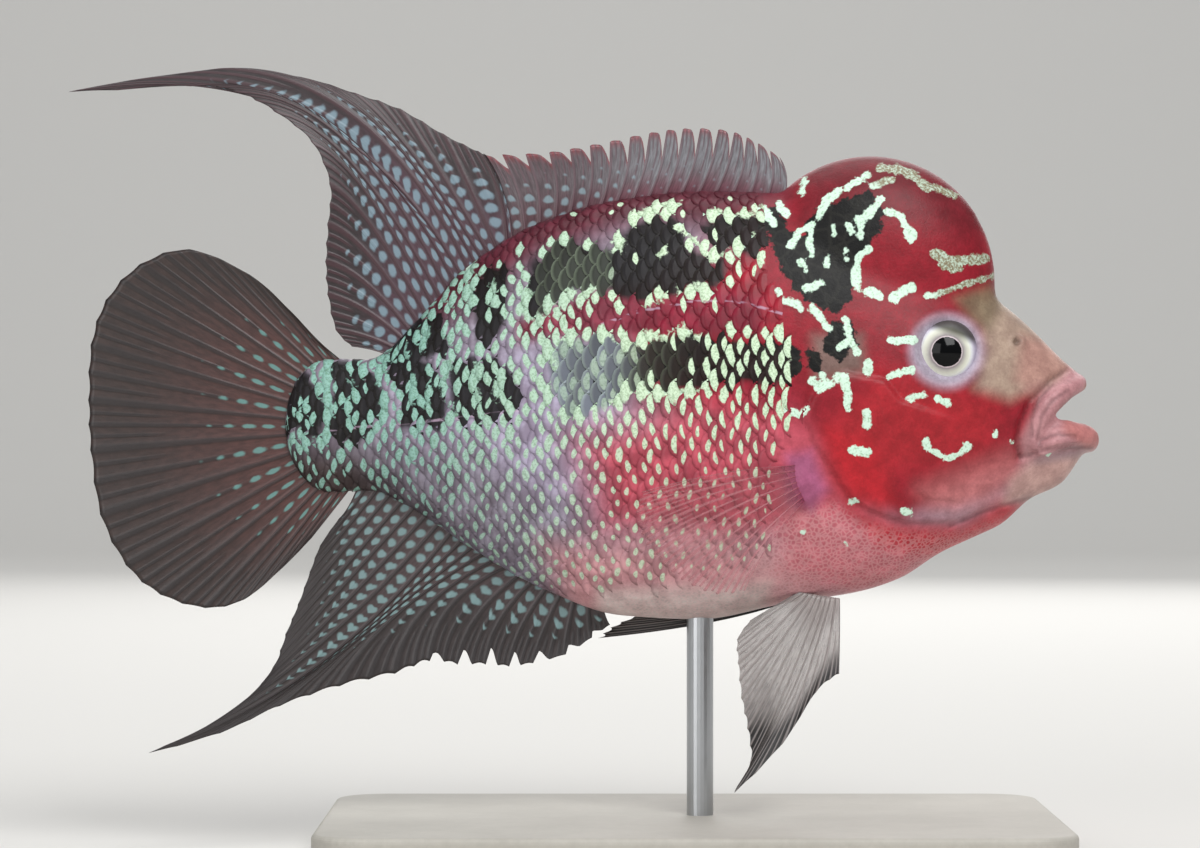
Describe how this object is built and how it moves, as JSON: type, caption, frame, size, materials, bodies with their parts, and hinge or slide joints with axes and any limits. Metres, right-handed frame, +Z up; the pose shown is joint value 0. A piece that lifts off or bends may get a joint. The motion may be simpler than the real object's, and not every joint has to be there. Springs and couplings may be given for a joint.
{
  "type": "flowerhorn cichlid model on a stand",
  "caption": "Life-size still model of a flowerhorn cichlid with a round nuchal hump, flowing fins and pearl-marked scales, held by a plain rod on a flat base",
  "frame": {"origin": "on the floor, under the middle of the whole model", "axes": "+X is the way the fish faces, from tail to mouth; -Y is its right side, which the picture shows; +Z is up"},
  "size_m": [0.155, 0.07, 0.1181],
  "materials": {
    "head_skin": "wet skin, crimson cheeks and olive snout with mint pearl marks",
    "hump_skin": "smooth wet skin, crimson with mint pearl marks",
    "lips": "smooth pinkish lips",
    "eye": "clear glossy cornea over a black pupil and a silver iris",
    "scaled_skin": "overlapping scales, red to lavender, with a mint pearl on each and black patches along the back",
    "tail_skin": "small scales, brown with turquoise pearls and a black spot",
    "fin_membrane": "thin dark maroon membrane with turquoise spots between rays",
    "clear_fin": "nearly clear membrane with fine red rays",
    "stand_plate": "smooth pale matte plate",
    "stand_metal": "satin steel rod"
  },
  "bodies": {
    "root": {"head": "head_skin", "nuchal_hump": "hump_skin", "upper_jaw": "lips", "lower_jaw": "lips", "gill_cover_right": "head_skin", "gill_cover_left": "head_skin", "eye_right": "eye", "eye_left": "eye", "trunk": "scaled_skin", "tail_stalk": "tail_skin", "dorsal_fin_spiny": "fin_membrane", "dorsal_fin_soft": "fin_membrane", "anal_fin": "fin_membrane", "caudal_fin": "fin_membrane", "pectoral_fin_right": "clear_fin", "pectoral_fin_left": "clear_fin", "pelvic_fin_right": "fin_membrane", "pelvic_fin_left": "fin_membrane", "stand_base": "stand_plate", "stand_rod": "stand_metal"}
  },
  "joints": []
}
